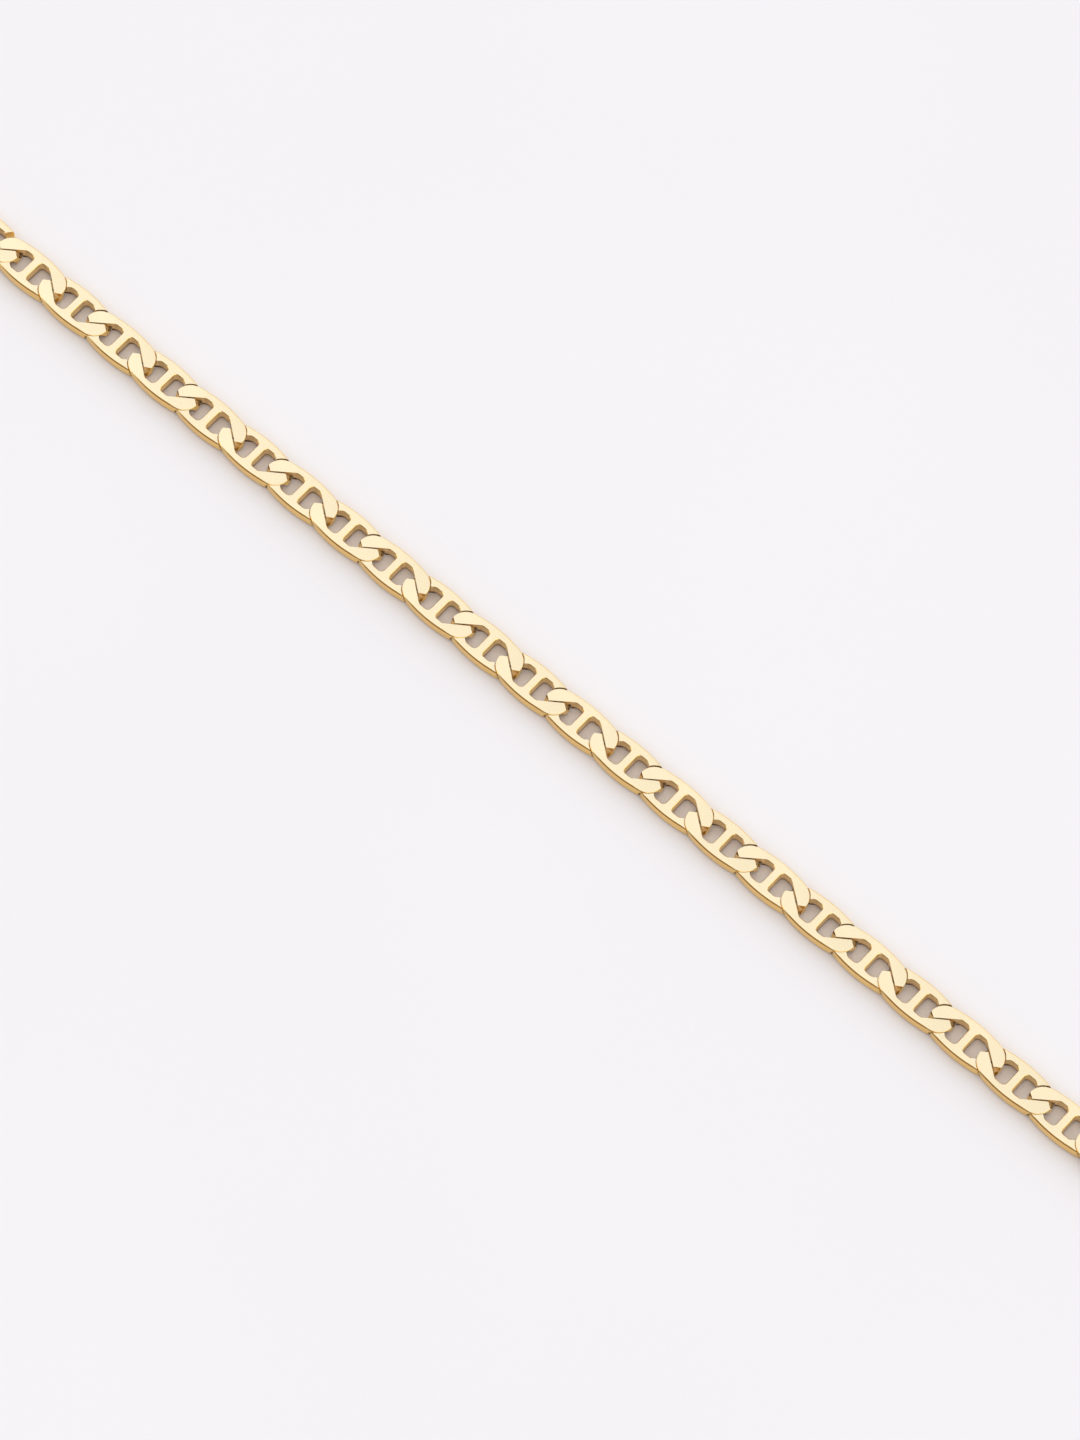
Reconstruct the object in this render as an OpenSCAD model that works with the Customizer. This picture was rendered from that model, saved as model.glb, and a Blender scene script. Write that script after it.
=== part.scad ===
// Necklace of flat mariner links: a closed loop lying flat, straight along its front run.
// The front run follows +X, the loop lies round the origin, and its underside is at z = 0.

/* [Link] */
// Length of a link from tip to tip
link_length = 6.5; // [6.2:0.1:7]
// Width of a link across both side rails
link_width = 3; // [2.8:0.1:3.4]
// Thickness of a link from its top face to its underside
link_height = 1.05; // [0.8:0.05:1.4]
// Radius of a link's round ends, seen from above
end_radius = 1.3; // [1.2:0.05:1.35]
// How far a link's end reaches past the middle of the joint
end_reach = 0.95; // [0.85:0.05:1]
// Width of each side rail
rail_width = 0.6; // [0.5:0.05:0.75]
// Width of the cross bar between the two holes
bar_width = 0.55; // [0.4:0.05:0.8]
// Corner radius of the holes beside the cross bar
hole_corner = 0.2; // [0.1:0.05:0.3]

/* [Joint between two links] */
// Angle from the chain's line to the straight edge along which two links meet
lap_angle = 37; // [33:1:41]
// Gap in plan along that edge
side_gap = 0.12; // [0.1:0.01:0.16]
// Gap in height between an upper arm and the lower arm that passes under it
lap_gap = 0.12; // [0.1:0.01:0.2]
// Length in plan of the ramp on a rail that runs down under its neighbour
ramp_run = 0.25; // [0.1:0.05:0.4]
// Angle from the chain's line to the way the ramp climbs, seen from above
ramp_angle = 50; // [40:1:55]

/* [Loop] */
// Links along the straight front run, an odd number
front_links = 25; // [23:2:29]
// Links in each half-round bend
bend_links = 32; // [30:1:36]

/* [Clasp] */
// Length of the clasp between its two joints, counted in links, an odd number
clasp_links = 3; // [3:2:5]
// Width of the clasp across its middle
clasp_width = 4.4; // [4:0.1:5.2]
// Thickness of the clasp's raised middle
clasp_height = 2.2; // [1.6:0.1:2.6]
// Length of the clasp's long opening, from its joint inwards
claw_opening = 5.2; // [4.4:0.1:5.6]
// Radius of the thumb rest on the clasp's side
thumb_radius = 0.8; // [0.5:0.1:1]

/* [Hidden] */
gold = "#dcb373";
$fn = 96;

// One link takes this much of the chain's length
pitch = link_length - 2 * end_reach;
// Half the width of a hole
hole_half = link_width / 2 - rail_width;
// Top of a lower arm, and underside of an upper arm
arm_top = (link_height - lap_gap) / 2;
// Middle of a neighbour's round end, seen from the middle of the joint
tip_middle = end_radius - end_reach;
// Far end of the edge along which two links meet, from the middle of the joint
lap_reach = hole_half / sin(lap_angle);

// Turn from one link to the next in a bend
bend_step = 180 / bend_links;
// In a bend the links close up by this much, which makes room for the turn
bend_slack = lap_reach * sin(bend_step) / sin(lap_angle);
// Room in front of a tip, for that closing up and for the turn
tip_room = side_gap + bend_slack + end_radius * sin(bend_step) / 2;
// Radius of the bends, and half the distance between the two straight runs
bend_radius = (pitch - bend_slack) / (2 * sin(bend_step / 2));

// Where the two straight runs lie, so that the loop with its wider clasp is centred
front_y = -bend_radius - (clasp_width - link_width) / 4;
back_y = bend_radius - (clasp_width - link_width) / 4;

// Half the length of the front run, and the links of the back run on each side
front_half = front_links * pitch / 2;
back_links = (front_links - clasp_links) / 2;
// Number of the last link on each side, counted from the middle one, which is 0
front_last = (front_links - 1) / 2;
bend_last = front_last + bend_links;
side_last = bend_last + back_links;

// Clasp
clasp_span = clasp_links * pitch;
clasp_length = clasp_span + 2 * end_reach;
tail_opening = pitch / 2 - bar_width / 2;
body_from = -clasp_span / 2 + claw_opening;
body_to = clasp_span / 2 - tail_opening;
body_margin = 0.35;
body_round = 0.9;
thumb_out = 0.35;

// Long enough to cut right through anything, and the turn between two points of a hole's corner
past = 1;
corner_turn = 30;

// Which side rail of link k lies on top at both its ends: -1 is the right-hand rail
function raised_side(k) = k % 2 == 0 ? -1 : 1;

// Outline with long side arcs that run smoothly into round ends
module spindle(length, width, radius) {
    tip_x = length / 2 - radius;
    swell = width / 2 - radius;
    arc_drop = (tip_x * tip_x - swell * swell) / (2 * swell);
    arc_radius = width / 2 + arc_drop;
    meet_x = tip_x * arc_radius / (arc_radius - radius);
    intersection() {
        translate([0, -arc_drop]) circle(r = arc_radius, $fn = 360);
        translate([0, arc_drop]) circle(r = arc_radius, $fn = 360);
        square([2 * meet_x, 2 * width], center = true);
    }
    for (side = [-1, 1])
        translate([side * tip_x, 0]) circle(r = radius);
}

// Where the slanting edge along which two links meet stands, at a place across the chain
function edge_x(y) = (side_gap / 2 - y * cos(lap_angle)) / sin(lap_angle);

// Hole beside the joint, as far as the slanting edge, with round corners at its inner end
module hole_outline(opening) {
    corner_x = -opening + hole_corner;
    corner_y = hole_half - hole_corner;
    polygon([
        for (turn = [180:corner_turn:270])
            [corner_x + hole_corner * cos(turn), -corner_y + hole_corner * sin(turn)],
        [edge_x(hole_half), -hole_half],
        [edge_x(hole_half), hole_half],
        for (turn = [90:corner_turn:180])
            [corner_x + hole_corner * cos(turn), corner_y + hole_corner * sin(turn)]
    ]);
}

// Where the foot of the ramp stands, at a place across the chain
function ramp_x(y) = tip_middle - (end_radius + tip_room + y * sin(ramp_angle)) / cos(ramp_angle);

// Flat bed of the lap in plan: from the foot of the ramp to the slanting edge
module bed_outline() {
    polygon([
        [ramp_x(-hole_half) - hole_corner, hole_half],
        [ramp_x(-hole_half) - hole_corner, -hole_half],
        [ramp_x(-hole_half), -hole_half],
        [ramp_x(-link_width / 2), -link_width / 2],
        [edge_x(-link_width / 2), -link_width / 2],
        [edge_x(hole_half), hole_half]
    ]);
}

// The ramp in side view, from its foot on the bed up through the link's top face
module ramp_outline() {
    rise = link_height - arm_top;
    polygon([
        [-ramp_run, 0],
        [0, 0],
        [2 * ramp_run, 2 * rise],
        [-ramp_run, 2 * rise]
    ]);
}

// What the upper half of a link's end loses, seen from the middle of its joint: the lap's bed,
// and a ramp across the near rail just before the neighbour's tip
module lap_cut() {
    translate([0, 0, arm_top])
        linear_extrude(link_height) bed_outline();
    translate([tip_middle, 0, arm_top])
        rotate([0, 0, 180 + ramp_angle])
            translate([end_radius + tip_room, 1.5 * rail_width, 0])
                rotate([90, 0, 0])
                    linear_extrude(3 * rail_width) ramp_outline();
}

// All that a joint takes out of a link's end: the hole, and the same cut from above and below
module joint_cuts(opening) {
    translate([0, 0, -past])
        linear_extrude(link_height + 2 * past) hole_outline(opening);
    lap_cut();
    translate([0, 0, link_height]) rotate([180, 0, 0]) lap_cut();
}

// One link about its middle, with the rail on the given side on top at both ends
module link(raised) {
    mirror([0, raised < 0 ? 1 : 0, 0])
        difference() {
            linear_extrude(link_height) spindle(link_length, link_width, end_radius);
            for (side = [0, 1])
                mirror([side, 0, 0])
                    translate([pitch / 2, 0, 0])
                        joint_cuts(pitch / 2 - bar_width / 2);
        }
}

// Link k of one side of the loop, counted from the middle of the front run
module placed_link(k) {
    if (k <= front_last)
        translate([k * pitch, front_y, 0]) link(raised_side(k));
    else if (k <= bend_last)
        translate([front_half, front_y + bend_radius, 0])
            rotate([0, 0, (k - front_last - 0.5) * bend_step])
                translate([0, -bend_radius * cos(bend_step / 2), 0]) link(raised_side(k));
    else
        translate([front_half - (k - bend_last - 0.5) * pitch, back_y, 0])
            rotate([0, 0, 180]) link(raised_side(k));
}

module chain_right() {
    color(gold)
        for (k = [0:side_last]) placed_link(k);
}

module chain_left() {
    color(gold)
        mirror([1, 0, 0])
            for (k = [1:side_last]) placed_link(k);
}

// The clasp's solid form about its middle, with its thumb rest on the inside of the loop
module clasp_blank() {
    linear_extrude(link_height) spindle(clasp_length, clasp_width, end_radius);
    translate([(body_from + body_to) / 2, 0, 0])
        linear_extrude(clasp_height)
            spindle(body_to - body_from - 2 * body_margin, clasp_width - 2 * body_margin, body_round);
    translate([body_from + thumb_radius, clasp_width / 2 + thumb_out - thumb_radius, 0])
        cylinder(h = link_height, r = thumb_radius);
}

// Plain closed clasp: its ends are halved like a link's, and lie over and under the last links
module clasp() {
    color(gold)
        translate([0, back_y, 0])
            rotate([0, 0, 180])
                difference() {
                    clasp_blank();
                    mirror([0, raised_side(side_last) > 0 ? 1 : 0, 0]) {
                        translate([clasp_span / 2, 0, 0]) joint_cuts(tail_opening);
                        mirror([1, 0, 0])
                            translate([clasp_span / 2, 0, 0]) joint_cuts(claw_opening);
                    }
                }
}

chain_right();
chain_left();
clasp();
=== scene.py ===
# %% [markdown]
# # A flat mariner chain necklace
# The real thing is a loop of 111 small gold links and a clasp, lying on a pale table. Each link
# is an oval ring with a bar across its middle, and its two ends are halved so that they lie
# over and under the ends of its neighbours. We start from the imported CAD model, which fixes
# every size and place.

import math
import random

import bmesh
import bpy
from mathutils import Matrix, Vector


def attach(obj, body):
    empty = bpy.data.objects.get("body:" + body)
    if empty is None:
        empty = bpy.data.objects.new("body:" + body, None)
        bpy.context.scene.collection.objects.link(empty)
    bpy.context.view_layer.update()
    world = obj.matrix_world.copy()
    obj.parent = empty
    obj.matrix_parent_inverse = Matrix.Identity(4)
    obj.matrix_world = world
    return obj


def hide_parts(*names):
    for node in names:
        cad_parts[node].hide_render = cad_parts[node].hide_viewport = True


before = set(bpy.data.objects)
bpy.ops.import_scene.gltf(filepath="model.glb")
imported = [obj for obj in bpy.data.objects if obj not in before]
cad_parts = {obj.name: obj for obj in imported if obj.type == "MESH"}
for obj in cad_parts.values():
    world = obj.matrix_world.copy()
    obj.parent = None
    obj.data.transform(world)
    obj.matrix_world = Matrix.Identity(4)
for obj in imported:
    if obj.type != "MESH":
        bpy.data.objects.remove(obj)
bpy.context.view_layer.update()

# %% [markdown]
# ## Sizes
# The sizes are the CAD model's own, in millimetres. Only the cross bar is a touch wider and the
# holes' corners a touch rounder, as they look in the photograph. A link is so small that in
# metres its rounded edges would be near the limit of what Blender's tools can tell apart, so
# each piece is modelled a thousand times as big, one unit to a millimetre, and shrunk when it
# is finished.

# %% Sizes of a link and of the loop
MILLIMETRE = 0.001
MICROMETRE = 0.000001

# One link: its outline seen from above, its thickness, and its two holes
LINK_LENGTH = 6.5
LINK_WIDTH = 3.0
LINK_HEIGHT = 1.05
END_RADIUS = 1.3
RAIL_WIDTH = 0.6
BAR_WIDTH = 0.6
HOLE_CORNER = 0.3
# How far a link's end reaches past the middle of the joint
END_REACH = 0.95
# Angle from the chain's line to the straight edge along which two links meet, the gap in plan
# along that edge, and the gap in height between an upper arm and the lower arm under it
LAP_ANGLE = math.radians(37)
SIDE_GAP = 0.12
LAP_GAP = 0.12
# The loop and its clasp, counted in links, and the clasp's width
FRONT_LINKS = 25
BEND_LINKS = 32
CLASP_LINKS = 3
CLASP_WIDTH = 4.4

# One link takes this much of the chain's length
PITCH = LINK_LENGTH - 2 * END_REACH
HOLE_HALF = LINK_WIDTH / 2 - RAIL_WIDTH
HOLE_LENGTH = PITCH / 2 - BAR_WIDTH / 2
# Top of a lower arm
ARM_TOP = (LINK_HEIGHT - LAP_GAP) / 2
# In a bend each link turns by a step, and sits closer by a slack that makes room for the turn
BEND_STEP = math.radians(180 / BEND_LINKS)
BEND_SLACK = HOLE_HALF / math.sin(LAP_ANGLE) * math.sin(BEND_STEP) / math.sin(LAP_ANGLE)
BEND_ROOM = SIDE_GAP + BEND_SLACK + END_RADIUS * math.sin(BEND_STEP) / 2
BEND_RADIUS = (PITCH - BEND_SLACK) / (2 * math.sin(BEND_STEP / 2))
# Where the two straight runs lie, so that the loop with its wider clasp is centred
FRONT_Y = -BEND_RADIUS - (CLASP_WIDTH - LINK_WIDTH) / 4
BACK_Y = BEND_RADIUS - (CLASP_WIDTH - LINK_WIDTH) / 4
FRONT_HALF = FRONT_LINKS * PITCH / 2
# Numbers of the last link of the front run, of the bend and of the back run on each side,
# counted from the middle link of the front, which is 0
FRONT_LAST = (FRONT_LINKS - 1) // 2
BEND_LAST = FRONT_LAST + BEND_LINKS
SIDE_LAST = BEND_LAST + (FRONT_LINKS - CLASP_LINKS) // 2
print("pitch", PITCH, "bend radius", round(BEND_RADIUS, 3), "last link", SIDE_LAST)

# %% [markdown]
# ## Camera
# The photograph looks down steeply, 65 degrees above the table, with a long lens. The chain's
# front run crosses the picture from upper left to lower right, so the camera stands off to one
# side of it. The camera is made first.

# %% Camera
# Found by matching where the links lie in the photograph: angles, then millimetres
CAMERA_ELEVATION = math.radians(65)
CAMERA_TURN = math.radians(42.32)
CAMERA_DISTANCE = 508.4
CAMERA_TARGET = Vector((2.08, FRONT_Y - 1.535, 0))
# The picture's long side and the focal length, both in the photograph's pixels
LONG_SIDE = 1440
FOCAL_PIXELS = 7032.8
SENSOR = 36
# Nearest and farthest distance that the camera sees, in metres
CAMERA_CLIP = (0.01, 20)

towards_camera = Vector((
    math.cos(CAMERA_ELEVATION) * math.sin(CAMERA_TURN),
    -math.cos(CAMERA_ELEVATION) * math.cos(CAMERA_TURN),
    math.sin(CAMERA_ELEVATION),
))
camera_data = bpy.data.cameras.new("photo_camera")
camera_data.sensor_width = SENSOR
camera_data.lens = SENSOR * FOCAL_PIXELS / LONG_SIDE
camera_data.clip_start, camera_data.clip_end = CAMERA_CLIP
camera = bpy.data.objects.new("photo_camera", camera_data)
bpy.context.collection.objects.link(camera)
camera.location = (CAMERA_TARGET + towards_camera * CAMERA_DISTANCE) * MILLIMETRE
camera.rotation_euler = towards_camera.to_track_quat("Z", "Y").to_euler()
bpy.context.scene.camera = camera
print("lens", round(camera_data.lens, 1), "mm, at", [round(v, 4) for v in camera.location])

# %% [markdown]
# ## Helpers for modelling by hand
# An operator acts on all that is selected, so each step first picks what it works on. These
# helpers do what a hand does between two operators: let everything go, open a piece for
# editing, and pick its edges by where they are. Others do short steps that come up often, such
# as mirroring a piece, which turns its faces inwards until they are turned back.

# %% Helpers
GRAIN = "grain"
# Scales that mirror a piece along the chain, and across it
ALONG = (-1, 1, 1)
ACROSS = (1, -1, 1)
# Corners this near to a place count as being there
NEAR = 0.001


def let_go():
    """Leave edit mode and deselect everything, the CAD pieces among it."""
    if bpy.context.object and bpy.context.object.mode == "EDIT":
        bpy.ops.object.mode_set(mode="OBJECT")
    bpy.ops.object.select_all(action="DESELECT")


def take(*pieces):
    """Select these pieces alone; the first becomes the active one."""
    let_go()
    for piece in pieces:
        piece.select_set(True)
    bpy.context.view_layer.objects.active = pieces[0]


def open_piece(piece):
    """Open a piece for editing, with all of its mesh selected."""
    take(piece)
    bpy.ops.object.mode_set(mode="EDIT")
    bpy.ops.mesh.select_all(action="SELECT")


def pick_edges(piece, test):
    """In edit mode, pick the edges that pass the test, and nothing else."""
    bpy.ops.mesh.select_mode(type="EDGE")
    bpy.ops.mesh.select_all(action="DESELECT")
    mesh = bmesh.from_edit_mesh(piece.data)
    for edge in mesh.edges:
        if test(edge):
            edge.select_set(True)
    mesh.select_flush_mode()
    bmesh.update_edit_mesh(piece.data)


def add_modifier(piece, kind, **settings):
    """Add a modifier to a piece, set it and apply it."""
    take(piece)
    modifier = piece.modifiers.new(kind.lower(), kind)
    for name, value in settings.items():
        setattr(modifier, name, value)
    bpy.ops.object.modifier_apply(modifier=modifier.name)


def cut_away(piece, cutters):
    """Cut all the cutters out of a piece at once, and throw them away."""
    take(*cutters)
    bpy.ops.object.join()
    cutter = bpy.context.object
    add_modifier(piece, "BOOLEAN", operation="DIFFERENCE", solver="EXACT", object=cutter,
                 use_self=True)
    bpy.data.objects.remove(cutter)


def copy_of(piece, name):
    """A copy of a piece, with a mesh of its own."""
    twin = piece.copy()
    twin.data = piece.data.copy()
    twin.name = twin.data.name = name
    bpy.context.collection.objects.link(twin)
    return twin


def put_in_mesh(piece):
    """Move a piece's place, turn and size into its mesh, so that its object is at the origin."""
    take(piece)
    bpy.ops.object.transform_apply(location=True, rotation=True, scale=True)


def face_outwards(piece):
    """Turn all the faces of a closed piece outwards."""
    open_piece(piece)
    bpy.ops.mesh.normals_make_consistent(inside=False)
    let_go()


def mirrored(piece, scale):
    """The piece, mirrored by a negative scale and with its faces outwards again."""
    piece.scale = scale
    put_in_mesh(piece)
    face_outwards(piece)
    return piece


def put_grain(piece):
    """Project a UV map on to a piece along its own axes, one unit to a millimetre, so that a
    finish can follow the piece wherever it is turned."""
    open_piece(piece)
    bpy.ops.uv.cube_project(cube_size=1, correct_aspect=False)
    let_go()
    piece.data.uv_layers.active.name = GRAIN


# %% [markdown]
# ## Gold finishes, with painted highlight and shade
# The chain is yellow gold throughout, but its surfaces were made in four ways, and that is
# what tells them apart in the photograph. The sides and rims are tumbled and then polished:
# almost a mirror, with the faint waves that a soft mop leaves. The top faces are dressed flat
# with a fine file or a diamond tool, which leaves very fine lines that spread the light, so they
# look more even; their paler colour is a painted highlight for the bright light on the tops. The
# walls of the holes are drawn over a string with polish. Their colour is painted paler than the
# sides' as painted light, and their dull brown foot is painted shade, which draws the dark line
# at the foot of each wall; the sides and the joints get the same painted shade towards the
# table. Nothing reaches into the joints, so there the skin of the casting is left, soft and
# finely pitted. All patterns are in real millimetres. They follow a UV map that every link
# carries along, shifted by chance from link to link, because a pattern on Object coordinates
# would run straight through all of them. Only the painted shade at the foot goes by the height
# above the table, which is the same for all links.

# %% Gold finishes
# Patterns in each millimetre: the waves, and the slow haze that shifts tone and shine
WAVE_SCALE = 0.9
HAZE_SCALE = 0.23
# Lowest tone in the haze, the roughness that the haze adds at most, and how far the grain takes
# the roughness down and up
HAZE_TONE = 0.95
HAZE_ROUGHNESS = 0.06
GRAIN_ROUGHNESS = (0.75, 1.25)
# Nearly all of a noise lies between these values
NOISE_RANGE = (0.3, 0.7)


def linear(hex_colour):
    """An sRGB hex colour as the linear values that Blender's colours hold."""
    def one(value):
        return value / 12.92 if value <= 0.04045 else ((value + 0.055) / 1.055) ** 2.4
    return tuple(one(int(hex_colour[i:i + 2], 16) / 255) for i in (1, 3, 5)) + (1.0,)


def add_node(tree, kind, links=None, **settings):
    """Add a node, set its inputs and properties, and link inputs to other nodes' outputs."""
    node = tree.nodes.new(kind)
    for name, value in settings.items():
        if name in node.inputs:
            node.inputs[name].default_value = value
        else:
            setattr(node, name, value)
    for name, source in (links or {}).items():
        tree.links.new(source, node.inputs[name])
    return node


def spread(tree, source, low, high):
    """Stretch a noise's middle range to the values from low to high."""
    node = add_node(tree, "ShaderNodeMapRange", {"Value": source})
    node.inputs["From Min"].default_value, node.inputs["From Max"].default_value = NOISE_RANGE
    node.inputs["To Min"].default_value, node.inputs["To Max"].default_value = low, high
    return node.outputs["Result"]


def toned(tree, colour, haze, low):
    """The colour, darkened here and there down to the share called low, as the haze goes."""
    tone = add_node(tree, "ShaderNodeVectorMath", {1: spread(tree, haze, low, 1.0)},
                    operation="MULTIPLY")
    tone.inputs[0].default_value = linear(colour)[:3]
    return tone.outputs["Vector"]


def gold(name, colour, roughness, wave_depth, grain_size, grain_turn, grain_depth):
    """Gold with soft waves, and a grain of lines or pits of the given length and width, in
    millimetres. The depths are in micrometres, and the lines are turned by so many degrees."""
    material = bpy.data.materials.new(name)
    material.use_nodes = True
    tree = material.node_tree
    shader = tree.nodes["Principled BSDF"]
    shader.inputs["Metallic"].default_value = 1
    place = add_node(tree, "ShaderNodeUVMap", uv_map=GRAIN).outputs["UV"]
    waves = add_node(tree, "ShaderNodeTexNoise", {"Vector": place}, Scale=WAVE_SCALE, Detail=2)
    haze = add_node(tree, "ShaderNodeTexNoise", {"Vector": place}, Scale=HAZE_SCALE, Detail=3)
    along, across = grain_size
    turned = add_node(tree, "ShaderNodeMapping", {"Vector": place},
                      Rotation=(0, 0, math.radians(grain_turn)), Scale=(1 / along, 1 / across, 1))
    grain = add_node(tree, "ShaderNodeTexNoise", {"Vector": turned.outputs["Vector"]},
                     Scale=1, Detail=3, Roughness=0.6)
    bend = add_node(tree, "ShaderNodeBump", {"Height": waves.outputs["Fac"]},
                    Strength=1, Distance=wave_depth * MICROMETRE)
    lines = add_node(tree, "ShaderNodeBump", {"Height": grain.outputs["Fac"],
                                              "Normal": bend.outputs["Normal"]},
                     Strength=1, Distance=grain_depth * MICROMETRE)
    smoothest, roughest = (share * roughness for share in GRAIN_ROUGHNESS)
    dull = add_node(tree, "ShaderNodeMath", {
        0: spread(tree, grain.outputs["Fac"], smoothest, roughest),
        1: spread(tree, haze.outputs["Fac"], 0.0, HAZE_ROUGHNESS)}, operation="ADD")
    tree.links.new(toned(tree, colour, haze.outputs["Fac"], HAZE_TONE),
                   shader.inputs["Base Color"])
    tree.links.new(dull.outputs["Value"], shader.inputs["Roughness"])
    tree.links.new(lines.outputs["Normal"], shader.inputs["Normal"])
    return material


def paint_shade_at_foot(material, colour, z_from, z_to):
    """Paint shade on a finish towards the table: its colour turns to a darker one between two
    heights in millimetres.
    """
    tree = material.node_tree
    shader = tree.nodes["Principled BSDF"]
    place = add_node(tree, "ShaderNodeTexCoord").outputs["Object"]
    height = add_node(tree, "ShaderNodeSeparateXYZ", {"Vector": place}).outputs["Z"]
    # Painted shade: 0 at the lower height, where the dark colour is painted, and 1 at the upper
    unshaded = add_node(tree, "ShaderNodeMapRange", {"Value": height},
                     interpolation_type="SMOOTHSTEP")
    unshaded.inputs["From Min"].default_value = z_from * MILLIMETRE
    unshaded.inputs["From Max"].default_value = z_to * MILLIMETRE
    # Inputs 6 and 7 of a mix node are its two colours
    bright = shader.inputs["Base Color"].links[0].from_socket
    blend = add_node(tree, "ShaderNodeMix", {0: unshaded.outputs["Result"], 7: bright},
                     data_type="RGBA")
    blend.inputs[6].default_value = linear(colour)
    tree.links.new(blend.outputs[2], shader.inputs["Base Color"])


# Tumbled and mopped: near a mirror, with hairlines 0.02 mm wide that only soften its reflections
polished_gold = gold("polished_gold", "#FFD985", roughness=0.1, wave_depth=3.0,
                     grain_size=(1.5, 0.02), grain_turn=12, grain_depth=0.03)
# Painted shade: the sides turn darker brown towards the table, standing in for the shade that
# their lower edge reflects
paint_shade_at_foot(polished_gold, "#B98743", 0.02, 0.35)
# Dressed with a fine file, almost across the link: lines 0.05 mm apart and satiny. Its pale colour
# is a painted highlight for the bright light on the flat tops
filed_gold_painted_highlight = gold("filed_gold_painted_highlight", "#FAE6BF", roughness=0.24, wave_depth=2.0,
                  grain_size=(1.2, 0.05), grain_turn=63, grain_depth=0.5)
# Drawn over a string with polish in the holes: softer than a mopped side. Its pale colour is
# painted light, and the brown at its foot is painted shade
hole_gold = gold("hole_gold", "#FFE3AE", roughness=0.42, wave_depth=3.0,
                 grain_size=(1.5, 0.02), grain_turn=12, grain_depth=0.03)
# Painted shade: the hole walls turn dark brown towards the table, where shade falls at their foot
paint_shade_at_foot(hole_gold, "#6A3F0E", 0.1, 0.4)
# Skin of the casting, left in the joints: pits 0.06 mm wide, soft and rather matt
cast_gold = gold("cast_gold", "#FFE4B0", roughness=0.6, wave_depth=4.0,
                 grain_size=(0.06, 0.06), grain_turn=0, grain_depth=2.0)
# Painted shade: the cast faces turn dark brown towards the table, where shade falls at the foot of
# the holes and in the joints
paint_shade_at_foot(cast_gold, "#6E4310", 0.1, 0.45)
FINISHES = (polished_gold, filed_gold_painted_highlight, cast_gold, hole_gold)
POLISHED, FILED, CAST, HOLE = range(len(FINISHES))
print("finishes", [material.name for material in FINISHES])

# %% [markdown]
# ## The link's blank
# A real link is stamped or bent to a flat oval ring, whose rails are somewhat taller than they
# are wide. Its outline is two long shallow arcs that run into round ends, so we draw it as with
# a pair of compasses: one corner point is spun round the middle of the tip, and on round the
# middle of the long arc. That gives a quarter. A mirror makes the other three, the outline is
# filled, and one extrude gives it its height. A scaled cylinder would be quicker, but its ends
# would be too pointed and its sides too round.

# %% Blank
TIP_STEPS = 12
SIDE_STEPS = 6
# Width of the bevel along the outer rims
TOP_RIM = 0.09
UNDER_RIM = 0.15


def spindle_arcs(length, width, radius):
    """The two arcs of a spindle's outline: how far along lies the middle of a round end, and how
    far across lies the middle of a long side."""
    tip_x = length / 2 - radius
    swell = width / 2 - radius
    return tip_x, (tip_x ** 2 - swell ** 2) / (2 * swell)


def spindle_blank(name, length, width, radius, height, tip_steps, side_steps):
    """An upright slab with long side arcs that run smoothly into round ends."""
    tip_x, arc_drop = spindle_arcs(length, width, radius)
    tip_turn = math.atan2(arc_drop, tip_x)
    let_go()
    bpy.ops.mesh.primitive_plane_add(size=1, location=(length / 2, 0, 0))
    blank = bpy.context.object
    blank.name = blank.data.name = name
    put_in_mesh(blank)
    open_piece(blank)
    bpy.ops.mesh.select_mode(type="VERT")
    bpy.ops.mesh.merge(type="CENTER")
    bpy.ops.mesh.spin(steps=tip_steps, angle=-tip_turn, center=(tip_x, 0, 0), axis=(0, 0, 1))
    bpy.ops.mesh.spin(steps=side_steps, angle=-(math.pi / 2 - tip_turn),
                      center=(0, -arc_drop, 0), axis=(0, 0, 1))
    let_go()
    add_modifier(blank, "MIRROR", use_axis=(True, True, False), merge_threshold=NEAR)
    open_piece(blank)
    bpy.ops.mesh.remove_doubles(threshold=NEAR)
    bpy.ops.mesh.edge_face_add()
    bpy.ops.mesh.extrude_region_move(TRANSFORM_OT_translate={"value": (0, 0, height)})
    face_outwards(blank)
    return blank


def round_rim(blank, z, offset, steps):
    """Round the rim of a blank at this height."""
    open_piece(blank)
    pick_edges(blank, lambda edge: all(abs(corner.co.z - z) < NEAR for corner in edge.verts))
    bpy.ops.mesh.bevel(offset=offset, segments=steps, affect="EDGES")
    let_go()


link = spindle_blank("link", LINK_LENGTH, LINK_WIDTH, END_RADIUS, LINK_HEIGHT,
                     TIP_STEPS, SIDE_STEPS)
round_rim(link, LINK_HEIGHT, TOP_RIM, 1)
round_rim(link, 0, UNDER_RIM, 2)
print("blank", len(link.data.vertices), "corners", [round(v, 3) for v in link.dimensions])

# %% [markdown]
# ## Holes and half-laps
# Two holes leave the cross bar between them. At each end the upper half of the ring is cut away
# on one side of a slanting line, in the shape of the neighbour's own outline with a little room
# round it, so that the neighbour's arm can lie there. The same cut from below, turned over,
# makes the other half of the joint. A wider, sloping cutter breaks the rims of each hole, a
# nearly flat one files a facet on each end, and a slanting one takes the sharp tip off the
# upper arm. Each cutter is a cube or a spindle that is trimmed by bisecting it, as one would
# plane a block down. All of them are joined and cut out in one exact Boolean: one after the
# other, they would leave slivers where their faces nearly meet.

# %% Holes
# Long enough to cut right through anything
PAST = 1.0
CORNER_STEPS = 4
# Room in plan round a neighbour's round end, on the straight runs
STRAIGHT_ROOM = 0.06
# Width of the bevel where a hole's side runs into the slanting edge
HOLE_BEND = 0.16
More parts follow.
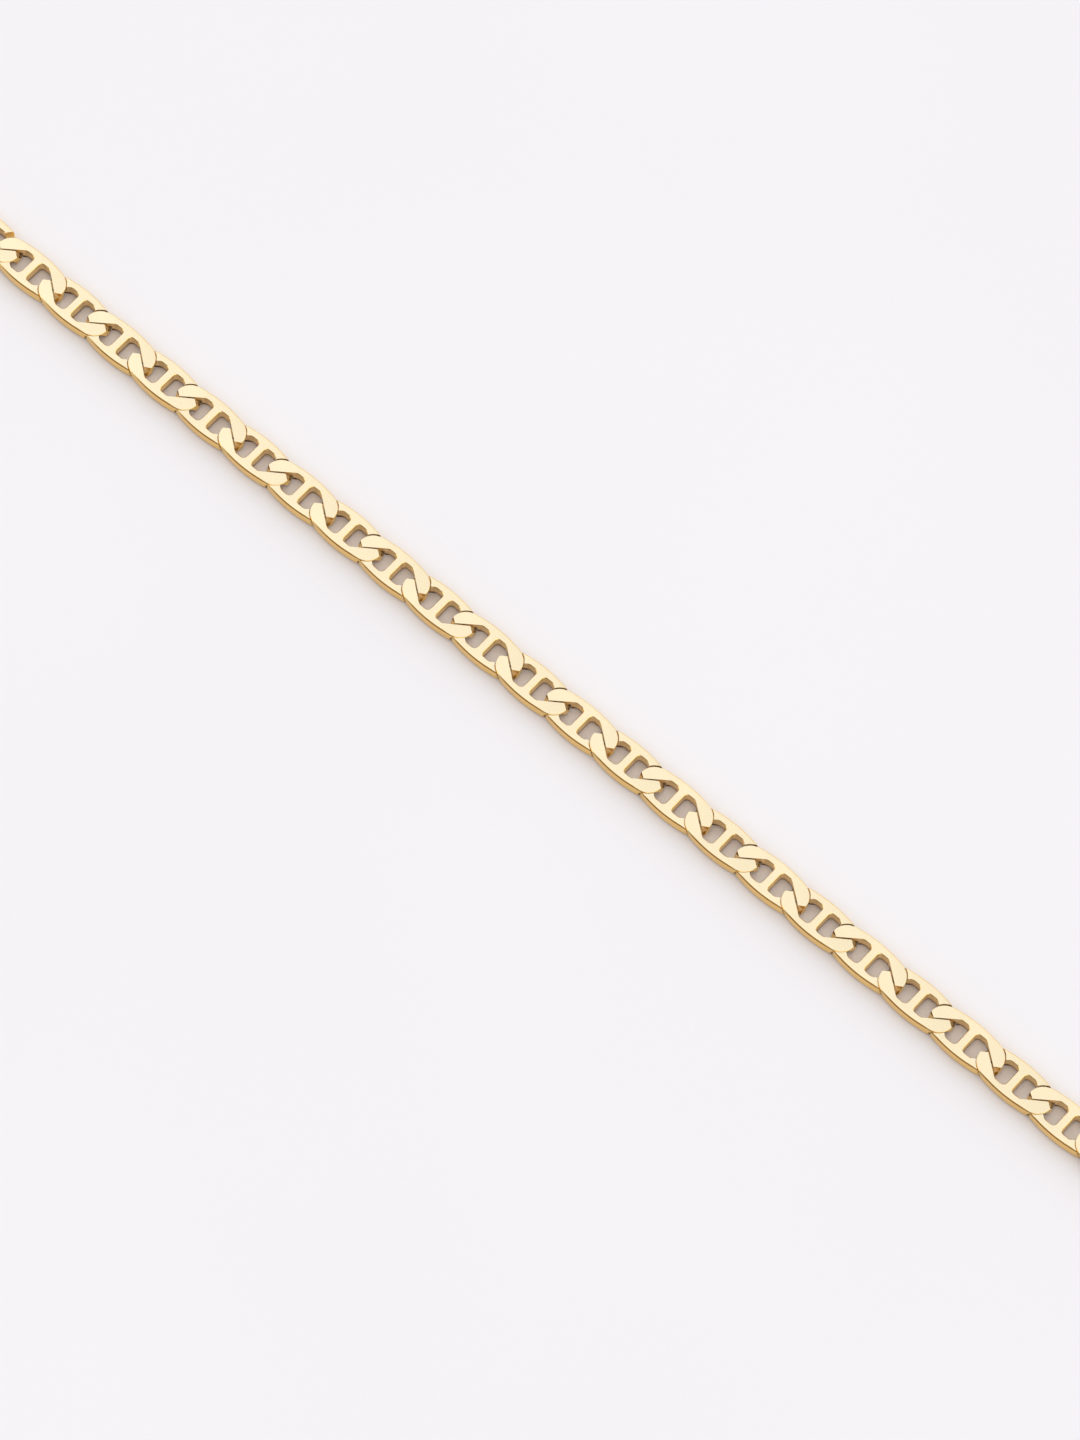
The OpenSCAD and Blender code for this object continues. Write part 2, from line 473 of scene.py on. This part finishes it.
# How far a hole's broken rim slopes outwards, and how far the slope runs on inside the hole
TOP_FLARE = 0.045
UNDER_FLARE = 0.12
FLARE_PAST = 0.1
# How far before the middle of the joint the filed facet begins, and how steeply it falls
FACET_REACH = 0.75
FACET_FALL = math.radians(2.5)
# The slanting cut at the upper arm's tip: its angle to the chain, its place across the chain,
# how much it leans back, and the height at which it ends
TIP_ANGLE = math.radians(35)
TIP_Y = 0.06
TIP_SLOPE = 0.45
TIP_FLOOR = 0.25
# Corners nearer to each other than this are merged after the cut
SLIVER = 0.002


def joint_block(x_from, x_to, y_from, y_to, z_from, z_to):
    """A plain block between two corners, to be trimmed into a cutter."""
    let_go()
    bpy.ops.mesh.primitive_cube_add(size=1)
    block = bpy.context.object
    block.location = ((x_from + x_to) / 2, (y_from + y_to) / 2, (z_from + z_to) / 2)
    block.scale = (x_to - x_from, y_to - y_from, z_to - z_from)
    put_in_mesh(block)
    return block


def edge_x(y):
    """Where the slanting edge of a joint stands, at a place across the chain."""
    return (SIDE_GAP / 2 - y * math.cos(LAP_ANGLE)) / math.sin(LAP_ANGLE)


def trim(cutter, point, outwards):
    """Plane a cutter down: what lies outwards of the plane through the point goes."""
    open_piece(cutter)
    bpy.ops.mesh.bisect(plane_co=point, plane_no=outwards, use_fill=True, clear_outer=True)
    face_outwards(cutter)


def trim_to_lap(cutter, joint_x, side):
    """Plane a cutter down to the slanting edge of the upper half (1) or the lower half (-1)."""
    trim(cutter, (joint_x + edge_x(0), 0, 0),
         (math.sin(LAP_ANGLE), side * math.cos(LAP_ANGLE), 0))


def round_upright(cutter, x, offset, steps):
    """Round the upright edges that stand at x, at the sides of a hole's cutter."""
    def is_upright(edge):
        return abs(edge.verts[0].co.z - edge.verts[1].co.z) > PAST

    open_piece(cutter)
    pick_edges(cutter, lambda edge: is_upright(edge) and all(
        abs(corner.co.x - x) < NEAR and abs(corner.co.y) > HOLE_HALF - NEAR
        for corner in edge.verts))
    bpy.ops.mesh.bevel(offset=offset, segments=steps, affect="EDGES")
    let_go()


def hole_cutter(joint_x, opening):
    """The hole beside a joint: round corners at the cross bar, and gentle bends where its sides
    run into the two slanting edges of the joint."""
    inner = joint_x - opening
    cutter = joint_block(inner, joint_x + PAST, -HOLE_HALF, HOLE_HALF, -PAST, LINK_HEIGHT + PAST)
    round_upright(cutter, inner, HOLE_CORNER, CORNER_STEPS)
    trim_to_lap(cutter, joint_x, 1)
    trim_to_lap(cutter, joint_x, -1)
    round_upright(cutter, joint_x + edge_x(HOLE_HALF), HOLE_BEND, 1)
    return cutter


def flare_cutter(joint_x, opening, flare):
    """What makes a hole wider towards its underside, by the flare on all sides. The slope runs
    on a little inside the hole, so that it crosses the hole's wall cleanly."""
    inner = joint_x - opening - flare
    half = HOLE_HALF + flare
    top = flare + FLARE_PAST
    cutter = joint_block(inner, joint_x + PAST, -half, half, -PAST, top)
    round_upright(cutter, inner, HOLE_CORNER + flare, CORNER_STEPS)
    round_rim(cutter, top, top, 1)
    trim_to_lap(cutter, joint_x, 1)
    trim_to_lap(cutter, joint_x, -1)
    # The same slope along the gentle bend beside each slanting edge
    for side in (1, -1):
        trim(cutter, (joint_x + edge_x(HOLE_HALF) - HOLE_BEND, side * HOLE_HALF, flare),
             Vector((math.sin(LAP_ANGLE / 2), side * math.cos(LAP_ANGLE / 2), 1)).normalized())
    return cutter


def facet_cutter(joint_x):
    """What a file takes off the top of a link's end, which leaves a facet that falls a little
    towards the tip."""
    cutter = joint_block(joint_x - 2 * FACET_REACH, joint_x + 2 * PAST, -LINK_WIDTH, LINK_WIDTH,
                         LINK_HEIGHT / 2, LINK_HEIGHT + PAST)
    trim(cutter, (joint_x - FACET_REACH, 0, LINK_HEIGHT),
         (-math.sin(FACET_FALL), 0, -math.cos(FACET_FALL)))
    return cutter


def lap_cutter(joint_x, room):
    """What the upper half of a link's end loses: the neighbour's own outline with some room
    round it, as far as the slanting edge."""
    cutter = spindle_blank("lap", LINK_LENGTH + 2 * room, LINK_WIDTH + 2 * room,
                           END_RADIUS + room, PAST, TIP_STEPS, SIDE_STEPS)
    cutter.location = (joint_x + PITCH / 2, 0, ARM_TOP)
    put_in_mesh(cutter)
    trim_to_lap(cutter, joint_x, 1)
    return cutter


def tip_cutter(joint_x):
    """What the upper arm loses at its tip, beyond a short edge that slants the other way."""
    cutter = joint_block(joint_x, joint_x + 2 * PAST, -LINK_WIDTH, LINK_WIDTH,
                         TIP_FLOOR, LINK_HEIGHT + PAST)
    trim(cutter, (joint_x + END_REACH, TIP_Y, LINK_HEIGHT),
         (-math.sin(TIP_ANGLE), math.cos(TIP_ANGLE), -TIP_SLOPE))
    return cutter


def turned_over(cutter):
    """The cutter turned over, for the other face of the link."""
    cutter.rotation_euler = (math.pi, 0, 0)
    cutter.location = (0, 0, LINK_HEIGHT)
    put_in_mesh(cutter)
    return cutter


def cut_piece(piece, joint_x, openings, room):
    """Cut the holes, facets and half-laps of both ends out of a blank, all at once. The openings
    are the lengths of the holes at its right and at its left end. The faces are left as
    triangles, which stay as they are when a link leans."""
    lap, tip = lap_cutter(joint_x, room), tip_cutter(joint_x)
    cutters = [facet_cutter(joint_x), lap, tip,
               turned_over(copy_of(lap, "lap_below")), turned_over(copy_of(tip, "tip_below"))]
    cutters += [mirrored(copy_of(cutter, cutter.name + "_left"), ALONG) for cutter in cutters]
    for opening, to_left in zip(openings, (False, True)):
        hole = [hole_cutter(joint_x, opening),
                turned_over(flare_cutter(joint_x, opening, TOP_FLARE)),
                flare_cutter(joint_x, opening, UNDER_FLARE)]
        cutters += [mirrored(cutter, ALONG) for cutter in hole] if to_left else hole
    cut_away(piece, cutters)
    open_piece(piece)
    bpy.ops.mesh.remove_doubles(threshold=SLIVER)
    bpy.ops.mesh.quads_convert_to_tris(quad_method="BEAUTY", ngon_method="BEAUTY")
    bpy.ops.mesh.dissolve_degenerate(threshold=SLIVER)
    bpy.ops.mesh.quads_convert_to_tris(quad_method="BEAUTY", ngon_method="BEAUTY")
    let_go()
    mesh = bmesh.new()
    mesh.from_mesh(piece.data)
    open_edges = sum(len(edge.link_faces) != 2 for edge in mesh.edges)
    mesh.free()
    print(piece.name, len(piece.data.vertices), "corners",
          len(piece.data.polygons), "triangles", open_edges, "open edges")


bend_link = copy_of(link, "bend_link")
cut_piece(link, PITCH / 2, (HOLE_LENGTH, HOLE_LENGTH), STRAIGHT_ROOM)
cut_piece(bend_link, PITCH / 2, (HOLE_LENGTH, HOLE_LENGTH), BEND_ROOM)

# %% [markdown]
# ## Two kinds of link
# Along the chain every second link is the mirror image of its neighbours: one has its right
# rail on top, the next its left. So the second kind is the first one mirrored across the
# chain, with its faces turned outwards again. Then every face gets its finish, by which way it
# looks and where it lies. Only now do the flat faces get their true normals back, weighted by
# area, so that a bevel doesn't bend the light on a flat face.

# %% Second kind of link
# Faces that meet at less than this turn are shaded as one, and large faces count for most
SMOOTH_TURN = math.radians(40)
NORMAL_WEIGHT = 80
# How far up or down a flat face, a slope and an upright wall look: a share of straight up
FLAT_UP = math.cos(FACET_FALL) - 0.001
SLOPE_UP = 0.6
WALL_UP = 0.2
# A flat face this near the link's top or underside was filed; deeper down it is the lap's bed
FILED_DEPTH = 0.12
# What lies this far inside the outline belongs to a hole or a joint
RIM_DEPTH = 0.15


def outline_distance(x, y, length, width, radius):
    """How far a place lies inside a spindle's outline."""
    tip_x, arc_drop = spindle_arcs(length, width, radius)
    arc_radius = width / 2 + arc_drop
    if abs(x) > tip_x * arc_radius / (arc_radius - radius):
        return radius - math.hypot(abs(x) - tip_x, y)
    return arc_radius - math.hypot(x, abs(y) + arc_drop)


def finish_of(face, outline):
    """Which finish a face has: filed on top and below, cast in the joints, drawn over a string
    in the holes, and polished elsewhere."""
    x, y, z = face.center
    up = abs(face.normal.z)
    # Flat faces near the top and underside get the filed finish, whose pale colour is a painted
    # highlight
    if up > FLAT_UP:
        return FILED if min(z, LINK_HEIGHT - z) < FILED_DEPTH else CAST
    if up < SLOPE_UP and z < LINK_HEIGHT and outline_distance(x, y, *outline) > RIM_DEPTH:
        return HOLE if up < WALL_UP else CAST
    return POLISHED


def finish_piece(piece, outline):
    """Give each face its finish, and shade smoothly over the rounded edges with the flat faces
    kept flat. The outline is the length, width and end radius of the piece."""
    for finish in FINISHES:
        piece.data.materials.append(finish)
    for face in piece.data.polygons:
        face.material_index = finish_of(face, outline)
    take(piece)
    bpy.ops.object.shade_smooth_by_angle(angle=SMOOTH_TURN)
    add_modifier(piece, "WEIGHTED_NORMAL", keep_sharp=True, weight=NORMAL_WEIGHT)
    put_grain(piece)


left_rail_up = {"straight": link, "bend": bend_link}
right_rail_up = {run: mirrored(copy_of(piece, piece.name + "_mirrored"), ACROSS)
                 for run, piece in left_rail_up.items()}
link_kinds = (*left_rail_up.values(), *right_rail_up.values())
for kind in link_kinds:
    finish_piece(kind, (LINK_LENGTH, LINK_WIDTH, END_RADIUS))
print("kinds of link", [kind.name for kind in link_kinds])

# %% [markdown]
# ## The loop
# The links follow the CAD model's route: straight along the front, round two half-circles and
# straight back to the clasp. In a bend they sit a little closer, which makes room for the turn.
# Real links hang loosely in one another, so each one leans and turns a little its own way,
# always less than the gap that the joints leave. A leaning link would stick out of its place in
# the CAD model by a hundredth of a millimetre, so each is made a hair narrower. The random
# numbers are seeded, so the chain comes out the same each time.

# %% Lay the links
# A link leans at most this much to its side, and a third of it along the chain and in plan
LEAN = math.radians(0.5)
TILT = LEAN / 3
SNUG = 0.99
# Each link's grain is shifted by up to this many millimetres
GRAIN_SHIFT = 50
random.seed(7)


def link_place(k):
    """Middle and turn of link k on the right-hand side, counted from the middle of the front."""
    if k <= FRONT_LAST:
        return Vector((k * PITCH, FRONT_Y, 0)), 0.0
    if k <= BEND_LAST:
        turn = (k - FRONT_LAST - 0.5) * BEND_STEP
        reach = BEND_RADIUS * math.cos(BEND_STEP / 2)
        return Vector((FRONT_HALF + reach * math.sin(turn),
                       FRONT_Y + BEND_RADIUS - reach * math.cos(turn), 0)), turn
    return Vector((FRONT_HALF - (k - BEND_LAST - 0.5) * PITCH, BACK_Y, 0)), math.pi


def lay_links(name, numbers, side):
    """Copy the two kinds of link along one side of the loop, and join them into one piece. The
    side is 1 on the right and -1 on the left."""
    laid = []
    for k in numbers:
        middle, turn = link_place(k)
        run = "bend" if FRONT_LAST <= k <= BEND_LAST + 1 else "straight"
        one = copy_of((right_rail_up if k % 2 == 0 else left_rail_up)[run], f"{name}_{k}")
        roll, pitch, yaw = (random.uniform(-most, most) for most in (LEAN, TILT, TILT))
        lift = abs(math.sin(roll)) * LINK_WIDTH / 2 + abs(math.sin(pitch)) * LINK_LENGTH / 2
        one.matrix_world = (
            Matrix.Scale(MILLIMETRE, 4)
            @ Matrix.Translation((side * middle.x, middle.y, lift))
            @ Matrix.Rotation(side * turn + yaw, 4, "Z")
            @ Matrix.Rotation(roll, 4, "X") @ Matrix.Rotation(pitch, 4, "Y")
            @ Matrix.Diagonal((1, SNUG, 1, 1)))
        shift = Vector((random.uniform(0, GRAIN_SHIFT), random.uniform(0, GRAIN_SHIFT)))
        for corner in one.data.uv_layers[GRAIN].uv:
            corner.vector += shift
        laid.append(one)
    take(*laid)
    bpy.ops.object.transform_apply(location=True, rotation=True, scale=True)
    bpy.ops.object.join()
    chain = bpy.context.object
    chain.name = chain.data.name = name
    put_in_mesh(chain)
    print(name, len(laid), "links", len(chain.data.polygons), "triangles")
    return chain


right_links = lay_links("links_right", range(0, SIDE_LAST + 1), 1)
left_links = lay_links("links_left", range(1, SIDE_LAST + 1), -1)
for kind in link_kinds:
    bpy.data.objects.remove(kind)
for chain, node in ((right_links, "chain_right"), (left_links, "chain_left")):
    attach(chain, "root")
    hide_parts(node)

# %% [markdown]
# ## Clasp
# The photograph doesn't show the clasp, so it is one plain closed piece, as long as three
# links: a flat plate with a long opening at its claw end, a raised body over its middle and a
# small thumb rest at its side. Its two ends are halved like a link's. The plate is cut as a link
# is, and the body and the thumb rest are joined to it by a Boolean union, so that it is one skin.

# %% Clasp
CLASP_SPAN = CLASP_LINKS * PITCH
CLASP_LENGTH = CLASP_SPAN + 2 * END_REACH
# Lengths of the two holes, from the middle of the joint inwards
CLAW_OPENING = 5.2
TAIL_OPENING = HOLE_LENGTH
# The raised body: where it stands along the plate, its margin at the sides, and its own form
BODY_FROM = -CLASP_SPAN / 2 + CLAW_OPENING
BODY_TO = CLASP_SPAN / 2 - TAIL_OPENING
BODY_MARGIN = 0.35
BODY_ROUND = 0.9
BODY_HEIGHT = 2.2
BODY_RIM = 0.45
THUMB_RADIUS = 0.8
THUMB_OUT = 0.35
THUMB_RIM = 0.2
# The body and the thumb rest stay this far clear of the plate's flat faces, because a union is
# cleanest where no two faces lie in one plane
CLEAR = 0.01

clasp = spindle_blank("clasp_body", CLASP_LENGTH, CLASP_WIDTH, END_RADIUS, LINK_HEIGHT,
                      TIP_STEPS, SIDE_STEPS)
round_rim(clasp, LINK_HEIGHT, TOP_RIM, 1)
round_rim(clasp, 0, UNDER_RIM, 2)
cut_piece(clasp, CLASP_SPAN / 2, (TAIL_OPENING, CLAW_OPENING), STRAIGHT_ROOM)

body = spindle_blank("body", BODY_TO - BODY_FROM - 2 * BODY_MARGIN,
                     CLASP_WIDTH - 2 * BODY_MARGIN, BODY_ROUND, BODY_HEIGHT - 2 * CLEAR,
                     tip_steps=8, side_steps=10)
round_rim(body, BODY_HEIGHT - 2 * CLEAR, BODY_RIM, 5)
body.location = ((BODY_FROM + BODY_TO) / 2, 0, CLEAR)
put_in_mesh(body)
let_go()
bpy.ops.mesh.primitive_cylinder_add(vertices=32, radius=THUMB_RADIUS,
                                    depth=LINK_HEIGHT - 2 * CLEAR)
thumb = bpy.context.object
thumb.location = (BODY_FROM + THUMB_RADIUS, THUMB_RADIUS - THUMB_OUT - CLASP_WIDTH / 2,
                  LINK_HEIGHT / 2)
put_in_mesh(thumb)
round_rim(thumb, LINK_HEIGHT - CLEAR, THUMB_RIM, 3)
for part in (body, thumb):
    add_modifier(clasp, "BOOLEAN", operation="UNION", solver="EXACT", object=part)
    bpy.data.objects.remove(part)
mirrored(clasp, ACROSS)
finish_piece(clasp, (CLASP_LENGTH, CLASP_WIDTH, END_RADIUS))
clasp.rotation_euler = (0, 0, math.pi)
clasp.location = Vector((0, BACK_Y, 0)) * MILLIMETRE
clasp.scale = (MILLIMETRE, MILLIMETRE, MILLIMETRE)
put_in_mesh(clasp)
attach(clasp, "root")
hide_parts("clasp")
print("clasp", len(clasp.data.polygons), "faces", [round(1000 * v, 2) for v in clasp.dimensions])

# %% [markdown]
# ## Table
# The chain lies on smooth pale card. It is almost white and quite matt, with a very fine tooth
# that is too small to see at this distance but keeps the shadow from looking printed.

# %% Table
# Half its side in metres, and how far below the chain it lies in millimetres
TABLE_HALF = 6.0
TABLE_DROP = 0.02
# Patterns in each metre: the card's tooth, and its slow change of tone
TOOTH_SCALE = 6000
CLOUD_SCALE = 18
CLOUD_TONE = 0.985
TOOTH_DEPTH = 4 * MICROMETRE

let_go()
bpy.ops.mesh.primitive_plane_add(size=2 * TABLE_HALF, location=(0, 0, -TABLE_DROP * MILLIMETRE))
table = bpy.context.object
table.name = "table"
put_in_mesh(table)
paper = bpy.data.materials.new("matt_white_card")
paper.use_nodes = True
tree = paper.node_tree
shader = tree.nodes["Principled BSDF"]
shader.inputs["Roughness"].default_value = 0.9
shader.inputs["Specular IOR Level"].default_value = 0.1
place = add_node(tree, "ShaderNodeTexCoord").outputs["Object"]
tooth = add_node(tree, "ShaderNodeTexNoise", {"Vector": place}, Scale=TOOTH_SCALE, Detail=3)
cloud = add_node(tree, "ShaderNodeTexNoise", {"Vector": place}, Scale=CLOUD_SCALE, Detail=2)
rough = add_node(tree, "ShaderNodeBump", {"Height": tooth.outputs["Fac"]},
                 Strength=1, Distance=TOOTH_DEPTH)
tree.links.new(toned(tree, "#F6F0F0", cloud.outputs["Fac"], CLOUD_TONE),
               shader.inputs["Base Color"])
tree.links.new(rough.outputs["Normal"], shader.inputs["Normal"])
table.data.materials.append(paper)

# %% [markdown]
# ## Light
# The photograph was made in a light tent: even white light from all sides, with a lamp behind
# the chain, so that the shadow falls towards the camera and stays short and soft. The tent's top
# is darker than its sides, which dims the table inside the holes but not around the chain. Low
# down on the near side the tent is open and dark, and draws the thin dark line along every rim
# that faces the camera. A world made of soft patches does all this; lamps would put hard
# little highlights on the gold.

# %% Light
# Strength of the tent's even light, and what its lamp adds and its top takes away
SKY_FILL = 1.28
SKY_KEY = 0.27
SKY_TOP = -0.5
# Colours of the tent's cloth and of its open side
SKY_COLOUR = (0.98, 1.02, 1.06, 1)
DARK_SIDE = (0.25, 0.17, 0.09, 1)

scene = bpy.context.scene
scene.view_settings.view_transform = "Standard"
world = bpy.data.worlds.new("studio")
scene.world = world
world.use_nodes = True
tree = world.node_tree
background = tree.nodes["Background"]
where = add_node(tree, "ShaderNodeTexCoord").outputs["Generated"]


def sky_patch(turn, elevation, inner, outer):
    """1 inside a round patch of sky, 0 outside it, with a soft edge from the inner to the outer
    radius. All are in degrees, and the turn is counted from the photograph's side."""
    turn, elevation = CAMERA_TURN + math.radians(turn), math.radians(elevation)
    middle = Vector((math.sin(turn) * math.cos(elevation), -math.cos(turn) * math.cos(elevation),
                     math.sin(elevation)))
    facing = add_node(tree, "ShaderNodeVectorMath", {0: where}, operation="DOT_PRODUCT")
    facing.inputs[1].default_value = middle
    patch = add_node(tree, "ShaderNodeMapRange", {"Value": facing.outputs["Value"]},
                     interpolation_type="SMOOTHSTEP")
    patch.inputs["From Min"].default_value = math.cos(math.radians(outer))
    patch.inputs["From Max"].default_value = math.cos(math.radians(inner))
    return patch.outputs["Result"]


def brighten(light, patch, weight):
    """The light so far, a number or an output, with a weighted patch added to it."""
    node = add_node(tree, "ShaderNodeMath", {0: patch}, operation="MULTIPLY_ADD")
    node.inputs[1].default_value = weight
    if isinstance(light, float):
        node.inputs[2].default_value = light
    else:
        tree.links.new(light, node.inputs[2])
    return node.outputs[0]


light = brighten(SKY_FILL, sky_patch(turn=180, elevation=62, inner=14, outer=40), SKY_KEY)
light = brighten(light, sky_patch(turn=0, elevation=90, inner=15, outer=62), SKY_TOP)
tree.links.new(light, background.inputs["Strength"])
# Inputs 6 and 7 of a mix node are its two colours
tent = add_node(tree, "ShaderNodeMix", {0: sky_patch(turn=-42, elevation=8, inner=26, outer=44)},
                data_type="RGBA")
tent.inputs[6].default_value = SKY_COLOUR
tent.inputs[7].default_value = DARK_SIDE
tree.links.new(tent.outputs[2], background.inputs["Color"])
